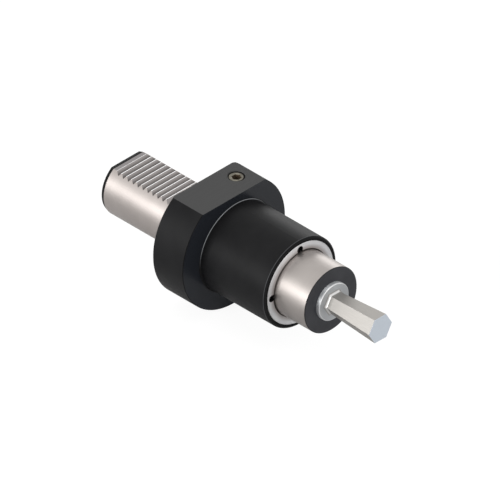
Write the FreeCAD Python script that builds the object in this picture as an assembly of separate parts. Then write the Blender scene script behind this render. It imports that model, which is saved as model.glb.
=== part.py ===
import FreeCAD, Part
import math
import os
from FreeCAD import Vector

# Rotary broach holder with a serrated straight shank. All sizes are in millimetres.
# The shank lies along X, its rear end at -X and the cutting tip at +X.
# The origin is where the shank's axis meets the rear contact face of the flange, +Z is up.
# The head leans by one degree and its axis meets the shank's axis at the cutting tip,
# so the free-running broach wobbles about its own tip as the work turns.
# A station is a place along the head's axis, counted like X and equal to X at the tip.

# Shank and its rack
shank_diameter = 40.0
shank_length = 63.0
shank_chamfer_depth = 0.8
shank_chamfer_length = 2.5
flat_height = 16.0
flat_end_chamfer_depth = 0.35
flat_end_chamfer_length = 1.6
rack_pitch = 4.0
rack_reference = 29.7
rack_flank_angle = 30.0
rack_crest_land = 0.5
rack_plain_length = 13.0
rack_end_land = 3.0

# Seal of the shank, at the foot of the flange
shank_seal_cord = 2.4
shank_seal_inset = 1.2

# Flange with its locating flat
flange_diameter = 83.0
flange_thickness = 25.0
flange_flat_height = 33.0
flange_front_chamfer = 0.3
flange_rear_chamfer = 1.0

# Barrel of the head
spindle_tilt = 1.0
barrel_length = 53.0
barrel_wall_over_ring = 2.5
barrel_edge_chamfer = 1.0
barrel_root_fillet = 0.8

# Coolant way from the contact face to the plug in the flat
coolant_across = 16.0
coolant_height = 23.0
coolant_bore_diameter = 5.0
coolant_riser_diameter = 4.0
coolant_seal_cord = 1.8
coolant_seal_diameter = 11.0
plug_diameter = 10.0
plug_length = 6.0
plug_recess = 0.6
plug_socket_across_flats = 5.0
plug_socket_depth = 4.0
plug_station = 11.0
plug_rim_chamfer = 0.5

# Fits
seat_clearance = 0.02
running_clearance = 0.04
broach_clearance = 0.03
thread_clearance = 0.04
cage_clearance = 0.2

# Tapered roller bearings, a light-series pair with their small ends together
bearing_bore = 25.0
bearing_outside = 52.0
bearing_total_width = 16.25
cone_width = 15.0
cup_width = 13.0
cup_angle = 14.036
cup_small_inside = 41.135
roller_half_angle = 1.9
roller_count = 17
roller_length = 9.4
roller_setback = 2.1
cone_small_rib = 0.9
cone_large_rib = 1.9
cage_thickness = 0.8
cage_lift = 1.0
cage_end_band = 1.1
ring_corner = 0.7

# Spacers between the bearings
outer_spacer_length = 12.75
outer_spacer_wall = 3.0
inner_spacer_wall = 3.0

# Retaining ring in the mouth of the barrel
ring_thickness = 8.0
ring_gap = 0.3
ring_width = 5.2
ring_shoulder = 0.48
ring_edge_chamfer = 0.3
ring_pin_hole_diameter = 3.6
ring_pin_hole_depth = 4.0
ring_pin_hole_count = 4
ring_pin_hole_wall = 1.75

# Shaft seal behind the ring
seal_case_length = 8.45
seal_case_wall = 1.7
seal_web_thickness = 1.5
seal_web_width = 3.2
seal_lip_height = 1.8
seal_lip_length = 2.4

# Spindle
nose_diameter = 42.0
nose_projection = 25.0
nose_edge_chamfer = 0.5
abutment_diameter = 33.0
abutment_length = 2.0
tail_length = 0.75
tail_pocket_gap = 1.5
vent_diameter = 5.0
key_slot_width = 5.0
key_slot_depth = 2.0

# Lock washer and lock nut on the spindle's tail
washer_thickness = 1.5
washer_diameter = 35.0
washer_tab_count = 12
washer_tab_width = 3.5
washer_tab_reach = 21.0
nut_diameter = 38.0
nut_length = 7.0
nut_slot_count = 4
nut_slot_width = 5.0
nut_slot_depth = 2.0
nut_edge_chamfer = 1.0

# Broach and the screw that clamps it
broach_shank_diameter = 16.0
broach_shank_length = 45.0
broach_shank_chamfer = 1.0
broach_flat_depth = 1.0
broach_flat_lead = 6.5
bore_spare_depth = 2.0
collar_diameter = 24.0
collar_thickness = 2.6
collar_edge_chamfer = 0.5
hexagon_across_flats = 16.0
hexagon_length = 37.9
hexagon_relief = 3.04
hexagon_root_radius = 1.5
clamp_screw_diameter = 8.0
clamp_screw_setback = 14.0
clamp_screw_recess = 1.5
clamp_screw_socket = 4.0
clamp_screw_socket_depth = 4.0
clamp_screw_angle = 330.0
clamp_screw_tip_gap = 0.02

# Lengths and radii that follow from the sizes above
shank_radius = shank_diameter / 2
nose_radius = nose_diameter / 2
bearing_radius = bearing_outside / 2
seat_radius = bearing_bore / 2
broach_radius = broach_shank_diameter / 2
bearing_bore_radius = bearing_radius + seat_clearance

# The seal and the ring go round the nose, and neither is narrower than the bearing behind it
seal_web_radius = nose_radius + seal_lip_height
seal_radius = max(bearing_radius, seal_web_radius + seal_web_width)
ring_bore_radius = max(bearing_bore_radius + ring_shoulder, nose_radius + ring_gap + ring_width)
ring_radius = ring_bore_radius - thread_clearance
barrel_radius = ring_bore_radius + barrel_wall_over_ring

# Stations along the head's axis, from the mouth of the barrel to the tail of the spindle
barrel_front = flange_thickness + barrel_length
ring_rear = barrel_front - ring_thickness
front_cup_face = ring_rear - seal_case_length
front_cone_back = front_cup_face + bearing_total_width - cup_width
front_cup_back = front_cone_back - bearing_total_width
rear_cup_back = front_cup_back - outer_spacer_length
rear_cup_face = rear_cup_back - cup_width
rear_cone_back = rear_cup_back - bearing_total_width
nut_front = rear_cone_back - washer_thickness
nut_rear = nut_front - nut_length
spindle_tail = nut_rear - tail_length
pocket_floor = spindle_tail - tail_pocket_gap

# Stations ahead of the barrel
nose_rear = front_cone_back + abutment_length
nose_front = barrel_front + nose_projection
collar_front = nose_front + collar_thickness
broach_rear = nose_front - broach_shank_length
tip_reach = collar_front + hexagon_length
clamp_screw_station = nose_front - clamp_screw_setback

# Angles and apex of the bearing: all its cones meet in one point of the axis
roller_angle = cup_angle - roller_half_angle
cup_back_distance = cup_small_inside / 2 / math.tan(math.radians(cup_angle))
cone_back_distance = cup_back_distance + bearing_total_width
cone_small_distance = cone_back_distance - cone_width
roller_start = (cone_small_distance + roller_setback) / math.cos(math.radians(roller_angle))
roller_end = roller_start + roller_length


def turned(profile):
    """Solid of revolution about X from points of its half section, each (station, radius)."""
    points = [Vector(station, 0, radius) for station, radius in profile]
    wire = Part.makePolygon(points + points[:1])
    return Part.Face(wire).revolve(Vector(0, 0, 0), Vector(1, 0, 0), 360)


def tube(start, end, inner, outer, chamfer=0.0):
    """Ring about X between two stations, its outer corners chamfered on request."""
    profile = [(start, inner), (start, outer - chamfer)]
    if chamfer > 0:
        profile += [(start + chamfer, outer), (end - chamfer, outer)]
        profile += [(end, outer - chamfer)]
    else:
        profile += [(end, outer)]
    return turned(profile + [(end, inner)])


def rod(start, end, radius):
    """Plain cylinder about X between two stations."""
    return Part.makeCylinder(radius, end - start, Vector(start, 0, 0), Vector(1, 0, 0))


def about_x(shape, angle):
    """Copy of a shape, turned about X by an angle in degrees."""
    copy = shape.copy()
    copy.rotate(Vector(0, 0, 0), Vector(1, 0, 0), angle)
    return copy


def ring_of(shape, count):
    """Copies of a shape, evenly spaced about X."""
    return [about_x(shape, 360.0 * index / count) for index in range(count)]


def leaning(shape):
    """Move a shape drawn about X on to the head's axis, by turning it about the cutting tip."""
    copy = shape.copy()
    copy.rotate(Vector(tip_reach, 0, 0), Vector(0, -1, -1), spindle_tilt)
    return copy


def hexagonal_prism(across_flats, length):
    """Hexagonal bar along +X from the origin."""
    return Part.Face(hexagon_wire(0.0, across_flats / math.sqrt(3))).extrude(Vector(length, 0, 0))


def hexagon_wire(station, corner_radius):
    """Closed hexagon across X at a station, two of its corners to the sides."""
    corners = []
    for index in range(6):
        angle = math.radians(60.0 * index)
        corners.append(Vector(station, corner_radius * math.cos(angle), corner_radius * math.sin(angle)))
    return Part.makePolygon(corners + corners[:1])


def first_rack_crest():
    """Distance from the contact face to the crest nearest to it."""
    crests_ahead = int((rack_reference - rack_plain_length) / rack_pitch)
    return rack_reference - crests_ahead * rack_pitch


def rack_cutter():
    """Everything above the serrated flat, as one extrusion across the shank."""
    slope = math.tan(math.radians(rack_flank_angle))
    depth = (rack_pitch - rack_crest_land) / (slope + 1 / slope)
    front = -first_rack_crest()
    rack_room = front + shank_length - flat_end_chamfer_length - rack_end_land
    clear = shank_radius + 1
    end = -shank_length
    points = [Vector(front, -clear, clear), Vector(front, -clear, flat_height)]
    for index in range(int(rack_room / rack_pitch)):
        wall_top = front - index * rack_pitch - rack_crest_land
        points.append(Vector(wall_top, -clear, flat_height))
        points.append(Vector(wall_top - depth * slope, -clear, flat_height - depth))
        points.append(Vector(front - (index + 1) * rack_pitch, -clear, flat_height))
    points.append(Vector(end + flat_end_chamfer_length, -clear, flat_height))
    points.append(Vector(end, -clear, flat_height - flat_end_chamfer_depth))
    points.append(Vector(end - 1, -clear, flat_height - flat_end_chamfer_depth))
    points.append(Vector(end - 1, -clear, clear))
    return Part.Face(Part.makePolygon(points + points[:1])).extrude(Vector(0, 2 * clear, 0))


def racked_shank():
    """Rear length of the shank, which carries the rack."""
    blank = turned([
        (-shank_length, 0),
        (-shank_length, shank_radius - shank_chamfer_depth),
        (-shank_length + shank_chamfer_length, shank_radius),
        (-first_rack_crest(), shank_radius),
        (-first_rack_crest(), 0),
    ])
    return blank.cut(rack_cutter())


def flange_and_guide():
    """Flange with its locating flat, and the plain guiding length of the shank behind it."""
    flange_radius = flange_diameter / 2
    groove_floor = shank_radius - shank_seal_cord
    groove_front = -shank_seal_inset
    groove_rear = groove_front - shank_seal_cord
    blank = turned([
        (-first_rack_crest(), 0),
        (-first_rack_crest(), shank_radius),
        (groove_rear, shank_radius),
        (groove_rear, groove_floor),
        (groove_front, groove_floor),
        (groove_front, shank_radius),
        (0, shank_radius),
        (0, flange_radius - flange_rear_chamfer),
        (flange_rear_chamfer, flange_radius),
        (flange_thickness - flange_front_chamfer, flange_radius),
        (flange_thickness, flange_radius - flange_front_chamfer),
        (flange_thickness, 0),
    ])
    above_flat = Part.makeBox(
        flange_thickness + 2, flange_diameter, flange_radius,
        Vector(-1, -flange_radius, flange_flat_height))
    return blank.cut(above_flat)


def with_barrel(blank):
    """Add the leaning barrel and round its foot on the flange."""
    barrel = leaning(turned([
        (pocket_floor, 0),
        (pocket_floor, barrel_radius),
        (barrel_front - barrel_edge_chamfer, barrel_radius),
        (barrel_front, barrel_radius - barrel_edge_chamfer),
        (barrel_front, 0),
    ]))
    body = blank.fuse(barrel).removeSplitter()
    foot = [edge for edge in body.Edges
            if abs(edge.BoundBox.XMin - flange_thickness) < 0.01
            and abs(edge.BoundBox.XMax - flange_thickness) < 0.01
            and abs(edge.BoundBox.YLength - 2 * barrel_radius) < 0.5]
    return body.makeFillet(barrel_root_fillet, foot)


def head_bore():
    """Stepped blind bore of the head: ring thread, seal and bearing seats, and nut pocket."""
    thread_end = ring_rear - 1.0
    pocket = rod(pocket_floor, barrel_front, cup_face_inside() - ring_corner / 2)
    bearing_seat = rod(rear_cup_face, barrel_front, bearing_bore_radius)
    seal_seat = rod(front_cup_face, barrel_front, seal_radius + seat_clearance)
    thread = rod(thread_end, barrel_front + 1, ring_bore_radius)
    return leaning(pocket.fuse([bearing_seat, seal_seat, thread]).removeSplitter())


def coolant_way():
    """Bore from the contact face, with its seal recess, up to the plugged hole in the flat."""
    bore_radius = coolant_bore_diameter / 2
    plug_floor = flange_flat_height - plug_recess - plug_length
    plug_hole_radius = plug_diameter / 2 + thread_clearance
    base = Vector(0, coolant_across, coolant_height)
    inlet = Part.makeCylinder(bore_radius, plug_station + bore_radius, base, Vector(1, 0, 0))
    recess = Part.makeCylinder(coolant_seal_diameter / 2, coolant_seal_cord, base, Vector(1, 0, 0))
    riser = Part.makeCylinder(
        coolant_riser_diameter / 2, plug_floor - coolant_height,
        Vector(plug_station, coolant_across, coolant_height))
    hole = Part.makeCylinder(
        plug_hole_radius, flange_flat_height - plug_floor + 1,
        Vector(plug_station, coolant_across, plug_floor))
    rim = Part.makeCone(
        plug_hole_radius, plug_hole_radius + plug_rim_chamfer, plug_rim_chamfer,
        Vector(plug_station, coolant_across, flange_flat_height - plug_rim_chamfer))
    return [inlet, recess, riser, hole, rim]


def base_body():
    """One machined piece: shank, flange and barrel."""
    body = with_barrel(flange_and_guide()).cut([head_bore()] + coolant_way())
    return body.fuse(racked_shank())


def cord_ring(mean_radius, cord, centre):
    """Rubber ring about X with a slightly flattened section, as it lies in its groove."""
    half = cord / 2
    flat = half * 0.4
    return turned([
        (centre - half, mean_radius - flat), (centre - half, mean_radius + flat),
        (centre - flat, mean_radius + half), (centre + flat, mean_radius + half),
        (centre + half, mean_radius + flat), (centre + half, mean_radius - flat),
        (centre + flat, mean_radius - half), (centre - flat, mean_radius - half),
    ])


def shank_o_ring():
    """Seal ring in the groove at the root of the shank."""
    cord = shank_seal_cord - 2 * seat_clearance
    centre = -shank_seal_inset - shank_seal_cord / 2
    return cord_ring(shank_radius - shank_seal_cord / 2, cord, centre)


def coolant_port_o_ring():
    """Seal ring in the recess round the coolant inlet."""
    cord = coolant_seal_cord - 2 * seat_clearance
    mean_radius = coolant_seal_diameter / 2 - coolant_seal_cord / 2
    ring = cord_ring(mean_radius, cord, coolant_seal_cord / 2)
    ring.translate(Vector(0, coolant_across, coolant_height))
    return ring


def coolant_plug_screw():
    """Screw plug with a hexagon socket, sunk into the flange's flat."""
    top = flange_flat_height - plug_recess
    radius = plug_diameter / 2
    chamfer = plug_rim_chamfer
    plug = turned([
        (0, 0), (0, radius - chamfer), (chamfer, radius),
        (plug_length - chamfer, radius), (plug_length, radius - chamfer), (plug_length, 0),
    ])
    socket = hexagonal_prism(plug_socket_across_flats, plug_socket_depth + 1)
    socket.translate(Vector(plug_length - plug_socket_depth, 0, 0))
    plug = plug.cut(socket)
    plug.rotate(Vector(0, 0, 0), Vector(0, 1, 0), -90)
    plug.translate(Vector(plug_station, coolant_across, top - plug_length))
    return plug


def retaining_ring():
    """Threaded ring that holds the bearings in, with holes for a pin wrench."""
    inner = nose_radius + ring_gap
    ring = turned([
        (ring_rear, inner), (ring_rear, ring_radius - ring_edge_chamfer),
        (ring_rear + ring_edge_chamfer, ring_radius),
        (barrel_front - ring_edge_chamfer, ring_radius),
        (barrel_front, ring_radius - ring_edge_chamfer), (barrel_front, inner),
    ])
    hole_circle = ring_radius - ring_pin_hole_wall - ring_pin_hole_diameter / 2
    hole = rod(barrel_front - ring_pin_hole_depth, barrel_front + 1, ring_pin_hole_diameter / 2)
    hole.translate(Vector(0, hole_circle, 0))
    return leaning(ring.cut(ring_of(hole, ring_pin_hole_count)))


def seal_case():
    """Steel case of the shaft seal, which also passes the ring's clamping force to the cup."""
    foot_inner = bearing_radius - seal_case_wall
    foot_front = front_cup_face + seal_web_thickness
    wall = tube(front_cup_face, ring_rear, seal_radius - seal_case_wall, seal_radius)
    foot = tube(front_cup_face, foot_front, foot_inner, seal_radius)
    web = tube(ring_rear - seal_web_thickness, ring_rear, seal_web_radius, seal_radius)
    return leaning(wall.fuse([foot, web]).removeSplitter())


def seal_lip():
    """Rubber lip bonded to the inner edge of the seal case."""
    lip_radius = nose_radius + running_clearance
    web_rear = ring_rear - seal_web_thickness
    tip_station = ring_rear - seal_lip_length
    middle = (seal_web_radius + lip_radius) / 2
    return leaning(turned([
        (ring_rear, seal_web_radius), (ring_rear, middle), (web_rear, middle),
        (tip_station + 0.5, lip_radius), (tip_station, lip_radius),
        (tip_station, middle), (web_rear, seal_web_radius),
    ]))


def cup_face_inside():
    """Radius inside the cup at its narrow face."""
    return (cup_back_distance + cup_width) * math.tan(math.radians(cup_angle))


def beside_roller(along, lift):
    """Point of the half section at a distance along a roller's axis and a height off it."""
    angle = math.radians(roller_angle)
    station = along * math.cos(angle) - lift * math.sin(angle)
    return station, along * math.sin(angle) + lift * math.cos(angle)


def roller_radius(along):
    """Radius of the cone that a roller rolls on, at a distance from the apex."""
    return along * math.tan(math.radians(roller_half_angle))


def bearing_cup():
    """Outer ring of the bearing, apex at the origin and wide face towards it."""
    back = cup_back_distance
    face = back + cup_width
    slope = math.tan(math.radians(cup_angle))
    return turned([
        (back, back * slope), (back, bearing_radius - ring_corner),
        (back + ring_corner, bearing_radius), (face - ring_corner, bearing_radius),
        (face, bearing_radius - ring_corner), (face, face * slope),
    ])


def bearing_cone():
    """Inner ring of the bearing, its raceway between a low rib and a high one."""
    inner = seat_radius + seat_clearance
    race_start = roller_start - cage_clearance / 2
    race_end = roller_end + cage_clearance / 2
    small_top = beside_roller(race_start, cone_small_rib - roller_radius(race_start))
    large_top = beside_roller(race_end, cone_large_rib - roller_radius(race_end))
    return turned([
        (cone_small_distance, inner), (cone_small_distance, small_top[1]), small_top,
        beside_roller(race_start, -roller_radius(race_start)),
        beside_roller(race_end, -roller_radius(race_end)),
        large_top, (cone_back_distance - ring_corner, large_top[1]),
        (cone_back_distance, large_top[1] - ring_corner), (cone_back_distance, inner),
    ])


def on_roller_axis(shape):
    """Lean a shape drawn about X on to the axis of the roller at the top."""
    copy = shape.copy()
    copy.rotate(Vector(0, 0, 0), Vector(0, -1, 0), roller_angle)
    return copy


def tapered_roller(growth=0.0):
    """One roller, or the wider window that it needs in the cage."""
    rims = []
    for along in (roller_start - growth, roller_end + growth):
        radius = roller_radius(along) - running_clearance + growth
        circle = Part.makeCircle(radius, Vector(along, 0, 0), Vector(1, 0, 0))
        rims.append(Part.Wire([circle]))
    return on_roller_axis(Part.makeLoft(rims, True, True))


def bearing_rollers():
    """All rollers of one bearing."""
    return Part.makeCompound(ring_of(tapered_roller(), roller_count))


def bearing_cage():
    """Pressed cage: a cone with one window for each roller and a lip at its small end."""
    start = roller_start - cage_end_band - cage_clearance
    end = roller_end + cage_end_band + cage_clearance
    low = cage_lift
    high = cage_lift + cage_thickness
    lip = beside_roller(start, low - cage_thickness)
    shell = turned([
        lip, beside_roller(start, high), beside_roller(end, high),
        beside_roller(end, low), beside_roller(start + cage_thickness, low),
        beside_roller(start + cage_thickness, low - cage_thickness),
    ])
    return shell.cut(ring_of(tapered_roller(cage_clearance), roller_count))


def at_front(shape):
    """Place a bearing piece at the front of the head, its large end forward."""
    copy = shape.copy()
    copy.translate(Vector(front_cone_back - cone_back_distance, 0, 0))
    return leaning(copy)


def at_rear(shape):
    """Place a bearing piece at the rear of the head, its large end to the rear."""
    copy = shape.copy()
    copy.rotate(Vector(0, 0, 0), Vector(0, 0, 1), 180)
    copy.translate(Vector(rear_cone_back + cone_back_distance, 0, 0))
    return leaning(copy)


def outer_spacer_sleeve():
    """Sleeve between the cups."""
    inner = bearing_radius - outer_spacer_wall
    return leaning(tube(rear_cup_back, front_cup_back, inner, bearing_radius, ring_corner / 2))


def inner_spacer_sleeve():
    """Sleeve between the cones."""
    inner = seat_radius + seat_clearance
    rear_end = rear_cone_back + cone_width
    front_end = front_cone_back - cone_width
    return leaning(tube(rear_end, front_end, inner, seat_radius + inner_spacer_wall))


def clamp_screw_axis(shape):
    """Stand a shape drawn along X on the axis of the clamp screw, X=0 at the head's axis."""
    copy = shape.copy()
    copy.rotate(Vector(0, 0, 0), Vector(0, 0, 1), 90)
    copy.translate(Vector(clamp_screw_station, 0, 0))
    return about_x(copy, clamp_screw_angle)


def spindle():
    """Free-running spindle: nose, bearing seats, threaded tail and bore for the broach."""
    abutment_radius = abutment_diameter / 2
    tail_chamfer = 1.0
    blank = turned([
        (spindle_tail, 0), (spindle_tail, seat_radius - tail_chamfer),
        (spindle_tail + tail_chamfer, seat_radius), (front_cone_back, seat_radius),
        (front_cone_back, abutment_radius), (nose_rear, abutment_radius),
        (nose_rear, nose_radius), (nose_front - nose_edge_chamfer, nose_radius),
        (nose_front, nose_radius - nose_edge_chamfer), (nose_front, 0),
    ])
    bore_radius = broach_radius + broach_clearance
    bore_floor = broach_rear - bore_spare_depth
    vent_radius = vent_diameter / 2
    bore = turned([
        (spindle_tail - 1, 0), (spindle_tail - 1, vent_radius),
        (bore_floor - bore_radius + vent_radius, vent_radius), (bore_floor, bore_radius),
        (nose_front + 1, bore_radius), (nose_front + 1, 0),
    ])
    screw_hole = clamp_screw_axis(rod(0, nose_radius + 1, clamp_screw_diameter / 2 + thread_clearance))
    key_slot = Part.makeBox(
        rear_cone_back + 1 - spindle_tail + 1, key_slot_width, seat_radius,
        Vector(spindle_tail - 1, -key_slot_width / 2, seat_radius - key_slot_depth))
    return leaning(blank.cut([bore, screw_hole, key_slot]))


def lock_washer():
    """Tab washer: an inner tab in the key slot, outer tabs, one of them bent into the nut."""
    inner = seat_radius + seat_clearance
    half = washer_tab_width / 2
    washer_radius = washer_diameter / 2
    ring = tube(nut_front, rear_cone_back, inner, washer_radius)
    tab = Part.makeBox(
        washer_thickness, washer_tab_width, washer_tab_reach - washer_radius + 1,
        Vector(nut_front, -half, washer_radius - 1))
    nut_radius = nut_diameter / 2
    bent_reach = nut_slot_depth - seat_clearance
    bent_root = Part.makeBox(
        washer_thickness, washer_tab_width, nut_radius - washer_radius + 1,
        Vector(nut_front, -half, washer_radius - 1))
    bent = Part.makeBox(
        nut_length / 2 + washer_thickness, washer_tab_width, bent_reach,
        Vector(nut_front - nut_length / 2, -half, nut_radius - bent_reach))
    inner_tab = Part.makeBox(
        washer_thickness, key_slot_width - 2 * broach_clearance, key_slot_depth,
        Vector(nut_front, -key_slot_width / 2 + broach_clearance,
               seat_radius - key_slot_depth + broach_clearance))
    tabs = ring_of(tab, washer_tab_count)[1:]
    return leaning(ring.fuse(tabs + [bent_root, bent, inner_tab]).removeSplitter())


def lock_nut():
    """Slotted round nut that sets the preload of the bearings."""
    inner = seat_radius + thread_clearance
    nut = tube(nut_rear, nut_front, inner, nut_diameter / 2, nut_edge_chamfer)
    slot = Part.makeBox(
        nut_length + 2, nut_slot_width, nut_slot_depth + 1,
        Vector(nut_rear - 1, -nut_slot_width / 2, nut_diameter / 2 - nut_slot_depth))
    return leaning(nut.cut(ring_of(slot, nut_slot_count)))


def clamp_screw():
    """Grub screw with a hexagon socket that bears on the flat of the broach's shank."""
    radius = clamp_screw_diameter / 2
    tip = broach_radius - broach_flat_depth + clamp_screw_tip_gap
    head = nose_radius - clamp_screw_recess
    corner = 0.8
    screw = turned([
        (tip, 0), (tip, radius - corner), (tip + corner, radius),
        (head - corner / 2, radius), (head, radius - corner / 2), (head, 0),
    ])
    socket = hexagonal_prism(clamp_screw_socket, clamp_screw_socket_depth + 1)
    socket.translate(Vector(head - clamp_screw_socket_depth, 0, 0))
    return leaning(clamp_screw_axis(screw.cut(socket)))


def broach():
    """Hexagon broach: clamping shank, collar and a cutting end that is largest at its tip."""
    edge = collar_edge_chamfer
    blank = turned([
        (broach_rear, 0), (broach_rear, broach_radius - broach_shank_chamfer),
        (broach_rear + broach_shank_chamfer, broach_radius), (nose_front, broach_radius),
        (nose_front, collar_diameter / 2), (collar_front - edge, collar_diameter / 2),
        (collar_front, collar_diameter / 2 - edge), (collar_front, 0),
    ])
    tip_corner = hexagon_across_flats / math.sqrt(3)
    shrink = hexagon_length * math.tan(math.radians(hexagon_relief)) * 2 / math.sqrt(3)
    hexagon = Part.makeLoft([
        hexagon_wire(collar_front, tip_corner - shrink),
        hexagon_wire(tip_reach, tip_corner),
    ], True, True)
    body = blank.fuse(hexagon)
    root = [line for line in body.Edges
            if abs(line.BoundBox.XMin - collar_front) < 0.001
            and abs(line.BoundBox.XMax - collar_front) < 0.001
            and isinstance(line.Curve, Part.Line)]
    body = body.makeFillet(hexagon_root_radius, root)
    flat_length = clamp_screw_station + broach_flat_lead - broach_rear
    flat = Part.makeBox(
        flat_length, broach_shank_diameter, broach_radius,
        Vector(broach_rear, -broach_radius, broach_radius - broach_flat_depth))
    return leaning(body.cut(about_x(flat, clamp_screw_angle - 90.0)))


def write_part(name, shape):
    """Write one named piece."""
    shape.exportStep("parts/" + name + ".step")


def main():
    """Build every piece and write it under its own name."""
    os.makedirs("parts", exist_ok=True)
    for name, piece in [
        ("base_body", base_body), ("shank_o_ring", shank_o_ring),
        ("coolant_port_o_ring", coolant_port_o_ring), ("coolant_plug_screw", coolant_plug_screw),
        ("retaining_ring", retaining_ring), ("seal_case", seal_case), ("seal_lip", seal_lip),
        ("outer_spacer_sleeve", outer_spacer_sleeve), ("inner_spacer_sleeve", inner_spacer_sleeve),
        ("spindle", spindle), ("lock_washer", lock_washer), ("lock_nut", lock_nut),
        ("clamp_screw", clamp_screw), ("broach", broach),
    ]:
        write_part(name, piece())
    for name, piece in [("cup", bearing_cup), ("cone", bearing_cone),
                        ("rollers", bearing_rollers), ("cage", bearing_cage)]:
        shape = piece()
        write_part("front_bearing_" + name, at_front(shape))
        write_part("rear_bearing_" + name, at_rear(shape))


main()
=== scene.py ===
"""Visual model of a rotary broach holder with a serrated straight shank, dressed over its CAD frame."""
import logging
import math
from collections.abc import Mapping, Sequence
from dataclasses import dataclass, field
from enum import Enum
from typing import TypeAlias

import bmesh
import bpy
from bpy.types import ID, Material, Node, NodeSocket, NodeTree, Object
from mathutils import Matrix, Vector


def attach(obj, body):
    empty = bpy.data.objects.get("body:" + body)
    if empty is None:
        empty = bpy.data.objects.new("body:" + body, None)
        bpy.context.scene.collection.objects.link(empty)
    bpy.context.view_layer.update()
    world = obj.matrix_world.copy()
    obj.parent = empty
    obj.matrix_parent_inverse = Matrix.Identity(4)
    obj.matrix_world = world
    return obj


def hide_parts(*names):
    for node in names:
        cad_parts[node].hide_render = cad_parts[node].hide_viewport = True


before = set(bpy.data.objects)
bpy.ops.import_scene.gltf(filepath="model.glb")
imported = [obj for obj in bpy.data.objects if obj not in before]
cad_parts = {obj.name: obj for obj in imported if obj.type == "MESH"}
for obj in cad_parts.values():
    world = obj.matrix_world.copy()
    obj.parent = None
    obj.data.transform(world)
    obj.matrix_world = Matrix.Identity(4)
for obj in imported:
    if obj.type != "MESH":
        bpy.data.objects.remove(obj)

LOG = logging.getLogger("broach_holder")
MM = 0.001
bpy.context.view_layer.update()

Values = Mapping[str | int, object]
Span = tuple[float, float]
Tones = tuple[str, str]
Term: TypeAlias = "Signal | float"

# Millimetres that a mask reaches past the face that it covers, and over which a crisp one fades.
REACH = 0.1
CRISP = 0.05


# places
def shift(station: float = 0.0, across: float = 0.0, height: float = 0.0) -> Matrix:
    """Move by millimetres, as a matrix in metres."""
    return Matrix.Translation((station * MM, across * MM, height * MM))


def turn(axis: str | Vector, degrees: float) -> Matrix:
    """Turn about an axis, as a matrix."""
    return Matrix.Rotation(math.radians(degrees), 4, axis)


@dataclass(frozen=True)
class HeadAxis:
    """Axis of the leaning head, which crosses the shank's axis at the cutting tip.

    Sizes are in millimetres and degrees. A station is a place along this axis, equal to X at the tip.
    """

    tip: float = 143.5
    tilt: float = 1.0

    def matrix(self) -> Matrix:
        """Turn about the tip that carries a piece drawn about X on to the head's axis, in metres."""
        pivot = shift(self.tip)
        return pivot @ turn(Vector((0.0, -1.0, -1.0)), self.tilt) @ pivot.inverted()


HEAD = HeadAxis()


# colours and nodes
def linear(code: str) -> tuple[float, float, float, float]:
    """Turn an sRGB hex colour to linear.

    Args:
        code: Six hex digits.

    Returns:
        Red, green, blue and alpha.
    """
    values = [int(code[i:i + 2], 16) / 255.0 for i in (0, 2, 4)]
    red, green, blue = [v / 12.92 if v <= 0.04045 else ((v + 0.055) / 1.055) ** 2.4 for v in values]
    return red, green, blue, 1.0


def add_node(tree: NodeTree, kind: str, values: Values | None = None) -> Node:
    """Add one node with its settings and its links.

    Args:
        tree: Tree that takes the node.
        kind: Type name of the node.
        values: Values by property name, or by name or number of an input. A socket or signal is linked.

    Returns:
        The new node.
    """
    node = tree.nodes.new(kind)
    for key, value in (values or {}).items():
        source = value.socket if isinstance(value, Signal) else value
        if isinstance(source, NodeSocket):
            tree.links.new(source, node.inputs[key])
        elif isinstance(key, str) and hasattr(node, key):
            setattr(node, key, source)
        else:
            node.inputs[key].default_value = source
    return node


def signal(tree: NodeTree, kind: str, values: Values | None = None, output: str | int = 0) -> "Signal":
    """Add one node and return one of its outputs."""
    return Signal(tree, add_node(tree, kind, values).outputs[output])


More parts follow.
